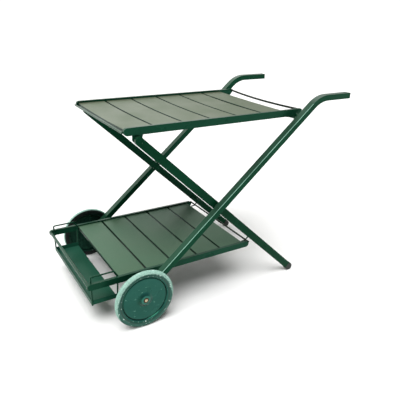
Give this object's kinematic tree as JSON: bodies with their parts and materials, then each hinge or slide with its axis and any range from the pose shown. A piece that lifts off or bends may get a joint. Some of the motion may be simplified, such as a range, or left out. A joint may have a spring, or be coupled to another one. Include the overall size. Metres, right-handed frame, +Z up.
{
  "type": "folding bar cart",
  "caption": "Folding bar cart: slatted upper and lower trays on crossed tube arms and legs, two wheels, bottle shelf, bent handles.",
  "frame": {"origin": "on the floor, under the middle of the open cart's bounding box", "axes": "+Z up, +X from the bottle shelf towards the handles, cart symmetric about the XZ plane, near side at -Y"},
  "size_m": [0.973, 0.543, 0.682],
  "materials": {
    "green_enamel": "gloss deep green enamel on steel",
    "tray_enamel": "gloss grey-green enamel on sheet steel, worn",
    "wheel_enamel": "gloss teal enamel on a pressed disc",
    "tyre_rubber": "pale green rubber",
    "foot_rubber": "matt dark green rubber",
    "bare_steel": "drawn steel",
    "brass": "dull brassy plating",
    "nylon": "dark nylon",
    "plug_plastic": "dark green plastic"
  },
  "bodies": {
    "arms": {"arm_near": "green_enamel", "arm_far": "green_enamel", "handle_plugs": "plug_plastic", "arm_foot_plugs": "plug_plastic", "axle": "bare_steel", "axle_washers": "bare_steel", "axle_caps": "brass", "pivot_rivets": "green_enamel", "pivot_spacers": "nylon", "tray_studs": "green_enamel", "lower_hinge_rod": "bare_steel", "lower_hinge_sleeves": "nylon"},
    "legs": {"leg_near": "green_enamel", "leg_far": "green_enamel", "foot_caps": "foot_rubber", "upper_hinge_rod": "bare_steel", "upper_hinge_washers": "nylon", "leg_hook_near": "green_enamel", "leg_hook_far": "green_enamel"},
    "upper_tray": {"upper_rail_near": "green_enamel", "upper_rail_far": "green_enamel", "upper_slat_1": "tray_enamel", "upper_slat_2": "tray_enamel", "upper_slat_3": "tray_enamel", "upper_slat_4": "tray_enamel", "upper_slat_5": "tray_enamel", "upper_slat_6": "tray_enamel", "upper_front_rod": "green_enamel", "upper_rear_wire": "green_enamel", "upper_lugs": "green_enamel", "upper_hook_plates": "green_enamel"},
    "lower_tray": {"lower_rail_near": "green_enamel", "lower_rail_far": "green_enamel", "lower_slat_1": "tray_enamel", "lower_slat_2": "tray_enamel", "lower_slat_3": "tray_enamel", "lower_slat_4": "tray_enamel", "lower_slat_5": "tray_enamel", "lower_front_bar": "green_enamel", "lower_rear_wire": "green_enamel", "lower_lugs": "green_enamel", "bottle_guard_near": "green_enamel", "bottle_guard_far": "green_enamel", "bottle_shelf": "green_enamel"},
    "wheel_near": {"tyre_near": "tyre_rubber", "wheel_disc_near": "wheel_enamel", "hub_bush_near": "nylon"},
    "wheel_far": {"tyre_far": "tyre_rubber", "wheel_disc_far": "wheel_enamel", "hub_bush_far": "nylon"}
  },
  "joints": [
    {"name": "scissor", "type": "hinge", "parent": "arms", "child": "legs", "pos_m": [-0.03799, 0, 0.34257], "axis": [0, -1, 0], "range_deg": [0, 76]},
    {"name": "upper_tray_hinge", "type": "hinge", "parent": "legs", "child": "upper_tray", "pos_m": [-0.30705, 0, 0.5926], "axis": [0, -1, 0], "range_deg": [-35.6, 0]},
    {"name": "lower_tray_hinge", "type": "hinge", "parent": "arms", "child": "lower_tray", "pos_m": [-0.27995, 0, 0.13591], "axis": [0, -1, 0], "range_deg": [0, 40.6]},
    {"name": "wheel_near_spin", "type": "hinge", "parent": "arms", "child": "wheel_near", "pos_m": [-0.322, 0, 0.1], "axis": [0, 1, 0], "continuous": true},
    {"name": "wheel_far_spin", "type": "hinge", "parent": "arms", "child": "wheel_far", "pos_m": [-0.322, 0, 0.1], "axis": [0, 1, 0], "continuous": true}
  ],
  "couplings": [
    {"joint": "upper_tray_hinge", "follows": "scissor", "ratio": -0.4671},
    {"joint": "lower_tray_hinge", "follows": "scissor", "ratio": 0.5329}
  ]
}
